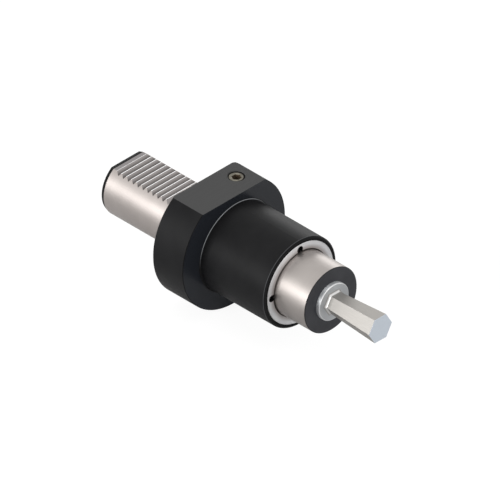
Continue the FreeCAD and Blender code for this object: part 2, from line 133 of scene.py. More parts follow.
@dataclass(frozen=True)
class Signal:
    """Value that a node gives and that arithmetic can be written with. A mask is one from 0 to 1."""

    tree: NodeTree
    socket: NodeSocket

    def reckon(self, operation: str, *others: Term) -> "Signal":
        """Work out a value from this one and from others, in order."""
        values = dict(enumerate((self, *others)))
        return signal(self.tree, "ShaderNodeMath", {"operation": operation, **values})

    def __add__(self, other: Term) -> "Signal":
        """Sum of both."""
        return self.reckon("ADD", other)

    def __sub__(self, other: Term) -> "Signal":
        """Difference of both."""
        return self.reckon("SUBTRACT", other)

    def __mul__(self, other: Term) -> "Signal":
        """Product of both, which is where both masks are."""
        return self.reckon("MULTIPLY", other)

    def __or__(self, other: Term) -> "Signal":
        """Larger of both, which is where either mask is."""
        return self.reckon("MAXIMUM", other)

    def __lt__(self, other: Term) -> "Signal":
        """Mask of where this is smaller."""
        return self.reckon("LESS_THAN", other)

    def __invert__(self) -> "Signal":
        """Mask of where this one isn't."""
        return self.reckon("MULTIPLY_ADD", -1.0, 1.0)

    def __abs__(self) -> "Signal":
        """Value without its sign."""
        return self.reckon("ABSOLUTE")

    def distance(self, other: "Signal") -> "Signal":
        """Distance whose parts, at right angles, are this and the other."""
        return (self * self + other * other).reckon("SQRT")

    def ramp(self, start: float, end: float, at: float = 0.0) -> "Signal":
        """Mask that goes from 0 at start to 1 at end and stays there, both counted from a place."""
        return signal(self.tree, "ShaderNodeMapRange", {
            "Value": self, "From Min": at + start, "From Max": at + end, "To Min": 0.0, "To Max": 1.0})

    def fade(self, start: float, end: float, at: float = 0.0) -> "Signal":
        """Mask that goes from 1 at start to 0 at end, both counted from a place."""
        return ~self.ramp(start, end, at)

    def band(self, low: float, high: float, soft: float = CRISP, at: float = 0.0) -> "Signal":
        """Mask that is 1 from low to high, with soft edges inside them, both counted from a place."""
        return self.ramp(low, low + soft, at) - self.ramp(high - soft, high, at)

    def level(self, low: Term, high: Term) -> "Signal":
        """Number that is low where this mask is 0 and high where it is 1."""
        return signal(self.tree, "ShaderNodeMix", {"data_type": "FLOAT", 0: self, 2: low, 3: high})

    def colour(self, low: "Signal | str", high: "Signal | str") -> "Signal":
        """Colour that is low where this mask is 0 and high where it is 1, each a signal or a hex code."""
        first, second = [linear(end) if isinstance(end, str) else end for end in (low, high)]
        return signal(self.tree, "ShaderNodeMix", {"data_type": "RGBA", 0: self, 6: first, 7: second}, 2)


@dataclass(frozen=True)
class Place:
    """Where a point of the surface lies, in millimetres, about one axis."""

    point: Signal
    station: Signal
    across: Signal
    height: Signal
    radius: Signal


@dataclass(frozen=True)
class Marks:
    """Marks or clouds of a surface, by their count per millimetre along each direction.

    Turned marks count along station and radius. Real ones of grinding and turning lie some hundredths of a
    millimetre apart, too fine to show in the render, so they are drawn as coarse as they need to show.
    """

    per_mm: tuple[float, float, float]
    octaves: float
    turned: bool = False


@dataclass
class Sheet:
    """Node tree of one material, with the places and patterns that the finishes share."""

    material: Material
    leaning: bool
    tree: NodeTree = field(init=False)
    place: Place = field(init=False)

    def __post_init__(self) -> None:
        """Clear the tree and read the place of each point, on the head's axis if asked."""
        self.material.use_nodes = True
        self.tree = self.material.node_tree
        self.tree.nodes.clear()
        self.place = self.about(self.leaning)

    def about(self, leaning: bool) -> Place:
        """Read the place of each point.

        Args:
            leaning: Whether it is measured on the head's axis, and on the shank's otherwise.

        Returns:
            Its place about that axis.
        """
        back = HEAD.matrix().inverted() if leaning else Matrix.Identity(4)
        point = signal(self.tree, "ShaderNodeMapping", {
            "Scale": (1 / MM, 1 / MM, 1 / MM), "Rotation": back.to_euler(), "Location": back.translation / MM,
            "Vector": signal(self.tree, "ShaderNodeTexCoord", output="Object")})
        parts = add_node(self.tree, "ShaderNodeSeparateXYZ", {0: point}).outputs
        station, across, height = [Signal(self.tree, part) for part in parts]
        return Place(point, station, across, height, across.distance(height))

    def facing(self, axis: str) -> Signal:
        """Part of the surface's own direction along X, Y or Z."""
        normal = signal(self.tree, "ShaderNodeNewGeometry", output="Normal")
        return signal(self.tree, "ShaderNodeSeparateXYZ", {0: normal}, axis)

    def from_upright(self, station: float, across: float) -> Signal:
        """Distance from an upright line, in millimetres."""
        return (self.place.station - station).distance(self.place.across - across)

    def across_turning(self) -> Signal:
        """Direction across the marks of turning, along which their highlights fan out."""
        way = signal(self.tree, "ShaderNodeCombineXYZ", {
            "X": self.place.radius * -1.0, "Y": self.place.across, "Z": self.place.height})
        return signal(self.tree, "ShaderNodeVectorTransform", {
            "vector_type": "VECTOR", "convert_from": "OBJECT", "convert_to": "WORLD", 0: way})

    def draw(self, marks: Marks) -> Signal:
        """Draw marks or clouds.

        Args:
            marks: Their kind and spacing.

        Returns:
            The pattern, from 0 to 1.
        """
        source = self.place.point
        if marks.turned:
            source = signal(self.tree, "ShaderNodeCombineXYZ", {
                "X": self.place.station, "Y": self.place.radius})
        laid = signal(self.tree, "ShaderNodeMapping", {"Scale": marks.per_mm, "Vector": source})
        return signal(self.tree, "ShaderNodeTexNoise", {
            "Scale": 1.0, "Detail": marks.octaves, "Roughness": 0.55, "Vector": laid})

    def close(self, colour: Signal, gloss: Signal, relief: Signal, depth: float, others: Values) -> None:
        """Close the tree with its shader and output.

        Args:
            colour: Base colour.
            gloss: Roughness.
            relief: Height of the relief, from 0 to 1.
            depth: Depth of the relief in millimetres.
            others: Other inputs of the shader by name.
        """
        normal = signal(self.tree, "ShaderNodeBump", {
            "Strength": 1.0, "Distance": depth * MM, "Height": relief}, "Normal")
        shader = signal(self.tree, "ShaderNodeBsdfPrincipled", {
            "Base Color": colour, "Roughness": gloss, "Normal": normal, **others})
        add_node(self.tree, "ShaderNodeOutputMaterial", {"Surface": shader})


# finishes
@dataclass(frozen=True)
class Finish:
    """Surface of one real material, the same all over unless its class says otherwise.

    The tones go from dark to light over the spread, a part of the pattern's range, and follow the marks and
    the clouds by their shares. The gloss and the relief, whose depth is in millimetres, follow the marks.
    """

    slot: str
    tones: Tones
    roughness: Span
    depth: float
    marks: Marks
    spread: Span = (0.3, 0.7)
    cloud: Marks | None = None
    mark_share: float = 1.0
    metallic: float = 1.0
    specular: float = 0.5
    leaning: bool = True

    def material(self) -> Material:
        """Make the nodes of the record's material anew.

        Returns:
            The material of this slot.
        """
        made = bpy.data.materials.get(self.slot) or bpy.data.materials.new(self.slot)
        self.dress(Sheet(made, self.leaning))
        return made

    def dress(self, sheet: Sheet) -> None:
        """Draw the marks and close the sheet."""
        marks = sheet.draw(self.marks)
        sheet.close(self.tone(sheet, marks).colour(*self.tones), self.gloss(marks), marks, self.depth, {
            "Metallic": self.metallic, "Specular IOR Level": self.specular})

    def tone(self, sheet: Sheet, marks: Signal) -> Signal:
        """Mask that goes from dark to light with the marks and the clouds."""
        clouds = sheet.draw(self.cloud) * (1.0 - self.mark_share) if self.cloud else 0.0
        return (marks * self.mark_share + clouds).ramp(*self.spread)

    def gloss(self, marks: Signal) -> Signal:
        """Roughness that follows the marks."""
        return marks.level(*self.roughness)


@dataclass(frozen=True)
class GroundSteel(Finish):
    """Hardened steel, cylindrically ground: bright and warm, with fine lines round the axis."""

    tones: Tones = ("97928d", "a29d98")
    spread: Span = (0.35, 0.65)
    roughness: Span = (0.35, 0.41)
    depth: float = 0.0005
    marks: Marks = Marks((2.2, 2.2, 0.0), 3.0, turned=True)
    cloud: Marks = Marks((0.05, 0.09, 0.09), 2.0)
    mark_share: float = 0.45


@dataclass(frozen=True)
class SpindleSteel(Finish):
    """Ground spindle steel, bright and warm, whose front face was left black from the oxide bath."""

    tones: Tones = ("a6a09c", "b1aba7")
    spread: Span = (0.35, 0.65)
    roughness: Span = (0.36, 0.42)
    depth: float = 0.0005
    marks: Marks = Marks((2.0, 2.0, 0.0), 3.0, turned=True)
    cloud: Marks = Marks((0.05, 0.08, 0.08), 2.0)
    mark_share: float = 0.45
    specular: float = 0.4
    black: str = "0c0d10"
    face_tones: Tones = ("303136", "3a3b40")
    face_spread: Span = (0.3, 0.7)
    face_roughness: float = 0.45
    front: float = 103.0
    nose_radius: float = 21.0
    edge: float = 0.5
    sharp: float = 0.02

    def dress(self, sheet: Sheet) -> None:
        """Mask the front face and its chamfer black, the rest bright with lines round the axis.

        Args:
            sheet: Tree of the material.
        """
        lines = sheet.draw(self.marks)
        face = sheet.place.station.ramp(-self.sharp, self.sharp, at=self.front - self.edge)
        chamfer = sheet.place.radius.ramp(-self.sharp, REACH, at=self.nose_radius - self.edge)
        tint = sheet.draw(self.cloud).ramp(*self.face_spread).colour(*self.face_tones)
        bright = self.tone(sheet, lines).colour(*self.tones)
        sheet.close(
            face.colour(bright, chamfer.colour(tint, self.black)),
            face.level(self.gloss(lines), self.face_roughness), lines, self.depth,
            {"Metallic": ~face, "Specular IOR Level": self.specular})


@dataclass(frozen=True)
class BlackenedBody(Finish):
    """Black-oxide steel with a soft gloss, its shank and contact face ground bright afterwards.

    The finish's own tones are the ground shank's. Edges at the barrel's foot, on its upper side, and at its
    rim are painted pale as a highlight.
    """

    tones: Tones = ("ada6a2", "b8b1ad")
    spread: Span = (0.35, 0.65)
    roughness: Span = (0.35, 0.41)
    depth: float = 0.0007
    marks: Marks = Marks((1.8, 1.8, 0.0), 3.0, turned=True)
    cloud: Marks = Marks((0.07, 0.07, 0.07), 3.0)
    mark_share: float = 0.4
    leaning: bool = False
    grain: Marks = Marks((1.6, 1.6, 1.6), 2.0)
    streaks: Marks = Marks((2.0, 0.06, 0.5), 2.0)
    flat_tones: Tones = ("8e8988", "979290")
    patch: str = "898585"
    # White painted highlight on the crests of the rack.
    crest: str = "ffffff"
    # Painted shade that darkens the grooves of the rack towards their roots, and its share.
    groove: str = "3a3634"
    groove_dirt: float = 0.7
    oxide_tones: Tones = ("111112", "171718")
    milled_tones: Tones = ("424242", "454545")
    turned: str = "292c32"
    end: str = "070707"
    # Painted highlight colour for the barrel's foot and rim.
    worn: str = "85878a"
    oxide_spread: Span = (0.3, 0.7)
    oxide_roughness: Span = (0.38, 0.48)
    turned_roughness: float = 0.24
    worn_roughness: float = 0.22
    oxide_specular: Span = (0.1, 0.36)
    shank_radius: float = 20.0
    shank_end: float = -60.45
    contact_reach: float = 0.06
    flat_height: float = 16.0
    flange_radius: float = 41.5
    flange_front: float = 25.0
    flange_flat: float = 33.0
    corner_break: float = 0.3
    front_facing: Span = (0.99, 0.999)
    flat_facing: Span = (0.995, 0.999)
    barrel_radius: float = 29.0
    barrel_front: float = 78.0
    chamfer: float = 1.0
    foot_fillet: float = 0.8
    foot_start: float = 0.08
    foot_light: Span = (-2.0, 12.0)
    rim_width: Span = (-0.12, 0.18)
    rim_depth: Span = (-0.3, -0.2)
    rim_wear: float = 0.32
    rack_pitch: float = 4.0
    rack_end: float = -57.9
    crest_station: float = -17.7
    crest_land: float = 0.38
    crest_depth: float = 0.12
    groove_fade: Span = (-1.15, -0.35)
    plug: Span = (11.0, 16.0)
    sink_radius: float = 5.8
    sink_depth: float = 0.5

    def dress(self, sheet: Sheet) -> None:
        """Lay the ground shank, its rack and the contact face over the blackened body.

        Args:
            sheet: Tree of the material.
        """
        # The edges mask holds the painted highlights on the barrel's foot and rim.
        ground, face, edges = self.ground(sheet), self.front(sheet), self.edges(sheet)
        lines, grain = sheet.draw(self.marks), sheet.draw(self.grain)
        colour = ground.colour(self.oxide(sheet, face), self.bright(sheet, lines))
        black_gloss = face.level(grain.level(*self.oxide_roughness), self.turned_roughness)
        gloss = ground.level(edges.level(black_gloss, self.worn_roughness), self.gloss(lines))
        sheet.close(edges.colour(colour, self.worn), gloss, ground.level(grain, lines), self.depth, {
            "Metallic": ground | edges, "Specular IOR Level": face.level(*self.oxide_specular)})

    def ground(self, sheet: Sheet) -> Signal:
        """Mask of what was ground bright: the shank ahead of its rear chamfer, and the contact face."""
        along = sheet.place.station.band(self.shank_end - REACH, self.contact_reach)
        return along * sheet.place.radius.fade(-REACH, CRISP, at=self.flange_radius - self.chamfer)

    def front(self, sheet: Sheet) -> Signal:
        """Mask of the flange's turned front face."""
        near = sheet.place.station.band(-REACH, REACH, at=self.flange_front)
        return near * sheet.facing("X").ramp(*self.front_facing)

    def bright(self, sheet: Sheet, lines: Signal) -> Signal:
        """Give the ground faces their colours.

        Args:
            sheet: Tree of the material.
            lines: Fine lines round the axis.

        Returns:
            Colour of the shank, of the flat cut in it and of the rack in that flat, with painted shade in the
            rack's grooves and a painted highlight on its crests.
        """
        station, height, tone = sheet.place.station, sheet.place.height, self.tone(sheet, lines)
        cut = sheet.place.radius < self.shank_radius - REACH
        colour = cut.colour(tone.colour(*self.tones), tone.colour(*self.flat_tones))
        colour = (cut * (station < self.rack_end - REACH)).colour(colour, self.patch)
        along = station.band(self.rack_end - CRISP, self.crest_station + CRISP)
        # Painted shade: the grooves of the rack darken towards their roots.
        groove = height.fade(*self.groove_fade, at=self.flat_height) * cut * along
        colour = (groove * self.groove_dirt).colour(colour, self.groove)
        # Painted highlight: the crests of the rack are painted white.
        phase = (station * -1.0 + self.crest_station).reckon("FLOORED_MODULO", self.rack_pitch)
        crest = phase.fade(0.0, REACH, at=self.crest_land) * along
        crest = crest * height.band(-self.crest_depth, REACH, at=self.flat_height)
        return crest.colour(colour, self.crest)

    def oxide(self, sheet: Sheet, face: Signal) -> Signal:
        """Give the blackened faces their colours.

        Args:
            sheet: Tree of the material.
            face: Mask of the flange's front face.

        Returns:
            Colour of the black, bluish on the front face, paler on the milled flat and deep at the edges.
        """
        station, radius, height = sheet.place.station, sheet.place.radius, sheet.place.height
        plain = sheet.draw(self.cloud).ramp(*self.oxide_spread).colour(*self.oxide_tones)
        corner = station.ramp(-CRISP, CRISP, at=self.flange_front - self.corner_break)
        corner = corner * radius.ramp(-CRISP, CRISP, at=self.flange_radius - self.corner_break)
        plain = corner.colour(face.colour(plain, self.turned), self.end)
        plain = (station < self.shank_end).colour(plain, self.end)
        flat = sheet.facing("Z").ramp(*self.flat_facing) * height.ramp(-REACH, -CRISP, at=self.flange_flat)
        sink = sheet.from_upright(*self.plug) < self.sink_radius
        sink = sink * height.ramp(-CRISP, 0.0, at=self.flange_flat - self.sink_depth)
        streaks = sheet.draw(self.streaks).ramp(*self.oxide_spread)
        return (flat | sink).colour(plain, streaks.colour(*self.milled_tones))

    def edges(self, sheet: Sheet) -> Signal:
        """Find the edges that are painted pale as highlights.

        Args:
            sheet: Tree of the material.

        Returns:
            Mask of the painted highlights on the barrel's foot, on its upper side, and on its rim.
        """
        head = sheet.about(leaning=True)
        foot = sheet.place.station.band(REACH, self.foot_fillet, REACH, at=self.flange_front)
        foot = foot * head.radius.band(self.foot_start, self.foot_fillet, REACH, at=self.barrel_radius)
        rim = head.station.band(*self.rim_width, at=self.barrel_front - self.chamfer)
        rim = rim * head.radius.ramp(*self.rim_depth, at=self.barrel_radius)
        # Painted highlight: the upper side of the foot, and the rim.
        return foot * head.height.ramp(*self.foot_light) | rim * self.rim_wear


@dataclass(frozen=True)
class SatinRingSteel(Finish):
    """Face-turned steel ring: pale and cool, with a soft fan of light, painted black as shade in and round
    its pin holes, and with painted shade and a painted reflection of the nose towards its bore.
    """

    tones: Tones = ("f0eff1", "f8f8f9")
    spread: Span = (0.35, 0.65)
    roughness: Span = (0.42, 0.5)
    depth: float = 0.001
    marks: Marks = Marks((0.4, 5.0, 0.0), 2.0, turned=True)
    cloud: Marks = Marks((0.12, 0.12, 0.12), 2.0)
    mark_share: float = 0.6
    specular: float = 0.2
    anisotropy: float = 0.8
    # Black painted shade for the pin holes and for every face behind the front.
    black: str = "0b0b0c"
    # Painted shade and a painted reflection of the nose, brown towards the bore, with its share and its fade.
    film: str = "8a7b71"
    film_share: float = 0.6
    film_fade: Span = (0.6, 3.2)
    # Painted shade along the gap between the ring and the spindle, and its fade.
    grime: str = "2a2421"
    grime_fade: Span = (0.2, 0.5)
    front: float = 78.0
    face_start: Span = (-0.06, -0.03)
    rim_start: Span = (-0.35, -0.3)
    rim_width: Span = (-0.5, -0.4)
    inner_radius: float = 21.3
    outer_radius: float = 26.46
    hole_circle: float = 22.91
    hole_radius: float = 2.15
    hole_fade: float = 0.2

    def dress(self, sheet: Sheet) -> None:
        """Give fine turning marks on the front face, painted shade in and round the holes, and painted shade
        and a painted reflection of the nose along the gap.

        Args:
            sheet: Tree of the material.
        """
        station, radius, marks = sheet.place.station, sheet.place.radius, sheet.draw(self.marks)
        rim = station.ramp(*self.rim_start, at=self.front)
        rim = rim * radius.ramp(*self.rim_width, at=self.outer_radius)
        front = station.ramp(*self.face_start, at=self.front) | rim
        # Painted shade and painted reflection: brown towards the bore.
        film = radius.fade(*self.film_fade, at=self.inner_radius) * self.film_share
        pale = film.colour(self.tone(sheet, marks).colour(*self.tones), self.film)
        # Painted shade: dark along the gap at the bore.
        pale = radius.fade(*self.grime_fade, at=self.inner_radius).colour(pale, self.grime)
        # Painted shadow: the pin holes and a ring round each are painted black.
        pale = self.round_holes(sheet).colour(pale, self.black)
        # Every face but the front and its rim is painted black, as painted shade in the bore and the holes.
        sheet.close(front.colour(self.black, pale), self.gloss(marks), marks, self.depth, {
            "Metallic": front, "Specular IOR Level": self.specular,
            "Anisotropic": self.anisotropy, "Tangent": sheet.across_turning()})

    def round_holes(self, sheet: Sheet) -> Signal:
        """Find the four pin holes, one at each side of the axis, with a painted shadow round each that
        reaches past its edge.

        Args:
            sheet: Tree of the material.

        Returns:
            Mask of the holes and the painted shadow round them.
        """
        across, height = abs(sheet.place.across), abs(sheet.place.height)
        away = ((across | height) - self.hole_circle).distance(across.reckon("MINIMUM", height))
        return away.fade(0.0, self.hole_fade, at=self.hole_radius)


@dataclass(frozen=True)
class GroundToolSteel(Finish):
    """Tool steel, profile-ground: clean and bright, with fine lines along the cutting edges."""

    tones: Tones = ("9d9a96", "a6a39f")
    roughness: Span = (0.46, 0.52)
    depth: float = 0.0004
    marks: Marks = Marks((0.03, 2.6, 2.6), 2.0)
    collar_marks: Marks = Marks((2.4, 2.4, 0.0), 2.0, turned=True)
    anisotropy: float = 0.8
    collar: str = "c8cacc"
    # White painted highlight for the collar's rim and the root fillet.
    polished: str = "ffffff"
    # Bluish tint on the tip face, a painted reflection of the surroundings.
    cool: str = "e2eaf3"
    collar_back: float = 103.0
    collar_front: float = 105.6
    collar_radius: float = 12.0
    edge: float = 0.5
    root_radius: float = 1.5
    root_soft: float = 0.3
    root_polish: float = 0.55
    tip: float = 143.5
    tip_start: Span = (-0.03, -0.01)

    def dress(self, sheet: Sheet) -> None:
        """Draw the lines along the hexagon and round the collar, paint highlights on the collar's rim and the
        hexagon's root fillet, and tint the tip face bluish as a painted reflection.

        Args:
            sheet: Tree of the material.
        """
        station, front = sheet.place.station, self.collar_front
        hexagon = station.ramp(0.0, REACH, at=front)
        lines = hexagon.level(sheet.draw(self.collar_marks), sheet.draw(self.marks))
        collar = station.band(self.collar_back, front + CRISP)
        rim = station.ramp(-self.edge, 0.0, at=front)
        rim = rim * sheet.place.radius.ramp(-REACH, 0.0, at=self.collar_radius - self.edge)
        root = station.band(CRISP, self.root_radius, self.root_soft, at=front)
        colour = collar.colour(self.tone(sheet, lines).colour(*self.tones), self.collar)
        # Painted highlights on the collar's rim and, fainter, on the root fillet.
        colour = (rim | root * self.root_polish).colour(colour, self.polished)
        # Painted reflection: the tip face is tinted bluish.
        colour = station.ramp(*self.tip_start, at=self.tip).colour(colour, self.cool)
        sheet.close(colour, self.gloss(lines), lines, self.depth, {
            "Metallic": self.metallic, "Anisotropic": collar.level(0.0, self.anisotropy),
            "Tangent": sheet.across_turning()})


@dataclass(frozen=True)
class PlatedScrewSteel(Finish):
    """Yellowish plated screw: olive with a greasy gloss, brown in its socket, with painted shade round its
    edge, heavier on one side.
    """

    tones: Tones = ("625f56", "807c70")
    roughness: Span = (0.28, 0.42)
    depth: float = 0.004
    marks: Marks = Marks((0.5, 0.5, 0.5), 3.0)
    metallic: float = 0.95
    leaning: bool = False
    socket: str = "54483a"
    # Painted shade round the plug's edge in its recess.
    grime: str = "26221f"
    floor_height: float = 32.25
    floor_fade: float = 0.4
    centre: Span = (11.0, 16.0)
    socket_radius: float = 2.95
    # The painted shade is centred off the plug, so that it falls heavier on one side.
    clean_centre: Span = (11.0, 15.6)
    clean_radius: float = 4.1
    clean_fade: float = 0.2

    def dress(self, sheet: Sheet) -> None:
        """Darken the socket, paint shade round the outer edge from an off-centre point, and vary the plating.

        Args:
            sheet: Tree of the material.
        """
        marks = sheet.draw(self.marks)
        hollow = sheet.from_upright(*self.centre).fade(0.0, REACH, at=self.socket_radius)
        hollow = hollow * sheet.place.height.fade(-self.floor_fade, 0.0, at=self.floor_height)
        # Painted shade: a crescent round the outer edge, heavier on one side.
        shaded_edge = sheet.from_upright(*self.clean_centre).ramp(0.0, self.clean_fade, at=self.clean_radius)
        plate = shaded_edge.colour(self.tone(sheet, marks).colour(*self.tones), self.grime)
        sheet.close(hollow.colour(plate, self.socket), self.gloss(marks), marks, self.depth, {
            "Metallic": hollow.level(self.metallic, 0.0)})


@dataclass(frozen=True)
class BlackenedScrewSteel(Finish):
    """Quenched and blackened screw steel: nearly black and mottled by the oil, with a dry half gloss."""

    tones: Tones = ("1a1a1c", "2b2b2e")
    spread: Span = (0.35, 0.7)
    roughness: Span = (0.3, 0.48)
    depth: float = 0.003
    marks: Marks = Marks((0.7, 0.7, 0.7), 3.0)
    metallic: float = 0.55


@dataclass(frozen=True)
class PressedSteel(Finish):
    """Cold-rolled sheet steel, pressed: grey, with fine streaks that the press left round the axis."""

    tones: Tones = ("929294", "a9a9aa")
    roughness: Span = (0.3, 0.42)
    depth: float = 0.002
    marks: Marks = Marks((0.8, 1.9, 0.0), 3.0, turned=True)


@dataclass(frozen=True)
class BearingSteel(Finish):
    """Chromium bearing steel, honed: a deep polish with the faintest lines round the raceways."""

    tones: Tones = ("b5b6b9", "c4c5c7")
    roughness: Span = (0.1, 0.17)
    depth: float = 0.0006
    marks: Marks = Marks((3.0, 3.0, 0.0), 2.0, turned=True)


@dataclass(frozen=True)
class NitrileRubber(Finish):
    """Moulded nitrile: matt black with a greyish bloom over a fine moulded grain."""

    tones: Tones = ("151515", "252525")
    spread: Span = (0.4, 0.7)
    roughness: Span = (0.55, 0.7)
    depth: float = 0.006
    marks: Marks = Marks((3.5, 3.5, 3.5), 1.0)
    cloud: Marks = Marks((0.35, 0.35, 0.35), 3.0)
    mark_share: float = 0.0
    metallic: float = 0.0
    specular: float = 0.35
    leaning: bool = False


# meshes
def piece_from(
    name: str, points: Sequence[Sequence[float]], faces: Sequence[Sequence[int]], sharp: float,
) -> Object:
    """Make one closed piece with its normals outward and smooth shading up to an angle.

    Args:
        name: Name of the piece.
        points: Corners in metres.
        faces: Corners of each face.
        sharp: Angle in degrees above which an edge stays sharp.

    Returns:
        The new object, at the origin.
    """
    mesh = bpy.data.meshes.new(name)
    mesh.from_pydata([tuple(p) for p in points], [], [tuple(f) for f in faces])
    work = bmesh.new()
    work.from_mesh(mesh)
    bmesh.ops.remove_doubles(work, verts=work.verts, dist=1e-7)
    bmesh.ops.recalc_face_normals(work, faces=work.faces)
    for face in work.faces:
        face.smooth = True
    for edge in work.edges:
        edge.smooth = len(edge.link_faces) != 2 or edge.calc_face_angle(0.0) < math.radians(sharp)
    work.to_mesh(mesh)
    work.free()
    made = bpy.data.objects.new(name, mesh)
    bpy.context.scene.collection.objects.link(made)
    return made


@dataclass
class Lathe:
    """Closed form about X, given by round and hexagonal loops, each of which touches its radius inside."""

    name: str
    segments: int
    sharp: float
    loops: list[tuple[float, float, bool]] = field(default_factory=list)

    def loop(self, station: float, radius: float, hexagon: bool = False) -> "Lathe":
        """Add a round or hexagonal loop."""
        self.loops.append((station, radius, hexagon))
        return self

    def build(self, place: Matrix, ring: bool = False) -> Object:
        """Skin the loops.

        Args:
            place: Turn and shift to the piece's place, in metres.
            ring: Whether the last loop joins the first one, as in a ring.

        Returns:
            The new object.
        """
        points: list[Vector] = []
        for station, radius, hexagon in self.loops:
            for index in range(self.segments):
                angle = 2 * math.pi * index / self.segments
                reach = radius / math.cos(angle % (math.pi / 3) - math.pi / 6) if hexagon else radius
                local = Vector((station, reach * math.cos(angle), reach * math.sin(angle))) * MM
                points.append(place @ local)
        count = len(self.loops)
        faces: list[list[int]] = []
        for row in range(count if ring else count - 1):
            low = row * self.segments
            high = ((row + 1) % count) * self.segments
            for index in range(self.segments):
                after = (index + 1) % self.segments
                faces.append([low + index, low + after, high + after, high + index])
        if not ring:
            faces.append(list(range(self.segments)))
            faces.append(list(range((count - 1) * self.segments, count * self.segments))[::-1])
        return piece_from(self.name, points, faces, self.sharp)


def settle(piece: Object, made: Material, body: str, node: str) -> None:
    """Give a piece its finish, its slot and its body, and let it stand for a CAD node.

    Args:
        piece: The piece, already in place.
        made: Its material.
        body: The CAD body that it rides on.
        node: The CAD node that it replaces.
    """
    piece.data.materials.clear()
    piece.data.materials.append(made)
    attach(piece, body)
    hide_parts(node)
    LOG.info("%s rides on %s", piece.name, body)


def dress_node(node: str, finish: Finish) -> None:
    """Give a CAD node its finish.

    Args:
        node: Name of the node.
        finish: Finish of its slot.
    """
    made = finish.material()
    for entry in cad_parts[node].material_slots:
        entry.material = made
    LOG.info("%s keeps its CAD form in %s", node, finish.slot)


# geometry nodes
class Pattern(Enum):
    """Repeats that Geometry Nodes make."""

    RING = "copies round the axis"
    THREAD = "thread ridge"


@dataclass
class Repeater:
    """Geometry Nodes tree for one pattern, with named inputs for its sizes."""

    pattern: Pattern

    def tree(self) -> NodeTree:
        """Make the pattern's tree once.

        Returns:
            The tree, which is found again when it was made before.
        """
        found = bpy.data.node_groups.get(self.pattern.value)
        if found:
            return found
        group = bpy.data.node_groups.new(self.pattern.value, "GeometryNodeTree")
        sizes = {"Count": "Int"} if self.pattern is Pattern.RING else dict.fromkeys(
            ("Turns", "Pitch", "Root radius", "Ridge height"), "Float")
        for name, kind in {"Geometry": "Geometry", "Material": "Material", **sizes}.items():
            group.interface.new_socket(name, in_out="INPUT", socket_type=f"NodeSocket{kind}")
        group.interface.new_socket("Geometry", in_out="OUTPUT", socket_type="NodeSocketGeometry")
        given = {socket.name: Signal(group, socket) for socket in add_node(group, "NodeGroupInput").outputs}
        made = self.ring(given) if self.pattern is Pattern.RING else self.thread(given)
        dressed = signal(group, "GeometryNodeSetMaterial", {"Geometry": made, "Material": given["Material"]})
        add_node(group, "NodeGroupOutput", {0: dressed})
        return group

    def ring(self, given: Mapping[str, Signal]) -> Signal:
        """Copy the input evenly round X.

        Args:
            given: The tree's inputs by name.

        Returns:
            The realised copies.
        """
        group, count = given["Count"].tree, given["Count"]
        share = signal(group, "GeometryNodeInputIndex").reckon("DIVIDE", count)
        copies = signal(group, "GeometryNodeInstanceOnPoints", {
            "Points": signal(group, "GeometryNodePoints", {"Count": count}), "Instance": given["Geometry"],
            "Rotation": signal(group, "ShaderNodeCombineXYZ", {"X": share * (2 * math.pi)})})
        return signal(group, "GeometryNodeRealizeInstances", {0: copies})

    def thread(self, given: Mapping[str, Signal]) -> Signal:
        """Sweep a three-cornered ridge along a helix about Z.

        Args:
            given: The tree's inputs by name.

        Returns:
            The ridge with the input.
        """
        group, root = given["Pitch"].tree, given["Root radius"]
        helix = signal(group, "GeometryNodeCurveSpiral", {
            "Resolution": 40, "Rotations": given["Turns"], "Start Radius": root, "End Radius": root,
            "Height": given["Turns"] * given["Pitch"]})
        upright = signal(group, "GeometryNodeSetCurveNormal", {"mode": "Z_UP", 0: helix})
        section = signal(group, "GeometryNodeCurvePrimitiveCircle", {
            "Resolution": 3, "Radius": given["Ridge height"]})
        ridge = signal(group, "GeometryNodeCurveToMesh", {"Fill Caps": True, 0: upright, 1: section})
        joined = add_node(group, "GeometryNodeJoinGeometry", {0: ridge})
        group.links.new(given["Geometry"].socket, joined.inputs[0])
        return signal(group, "GeometryNodeRealizeInstances", {0: joined.outputs[0]})

    def apply(self, host: Object, values: Mapping[str, object], place: Matrix) -> Object:
        """Run the tree on a piece and turn the result into a plain mesh in its place.

        Args:
            host: Piece drawn about its own axis, which the result takes over.
            values: Values of the tree's inputs by name.
            place: Turn and shift of the result, in metres.

        Returns:
            The same object with its new mesh.
        """
        modifier = host.modifiers.new(self.pattern.value, "NODES")
        modifier.node_group = self.tree()
        sockets = {item.name: item.identifier for item in modifier.node_group.interface.items_tree
                   if item.item_type == "SOCKET" and item.in_out == "INPUT"}
        for name, value in values.items():
            modifier[sockets[name]] = value
        bpy.context.view_layer.update()
        evaluated = host.evaluated_get(bpy.context.evaluated_depsgraph_get())
        mesh = bpy.data.meshes.new_from_object(evaluated)
        host.modifiers.remove(modifier)
        host.data = mesh
        mesh.transform(place)
        mesh.name = host.name
        return host


# sub-assemblies
@dataclass
class CadPieces:
    """Pieces that keep their CAD forms. Each field has its node's name and holds the node's finish."""

    def dress(self) -> None:
        """Give each CAD node its finish."""
        for node, finish in vars(self).items():
            dress_node(node, finish)


@dataclass
class HolderBody(CadPieces):
    """Shank, flange and barrel in one piece."""

    base_body: Finish = BlackenedBody("blackened_steel")


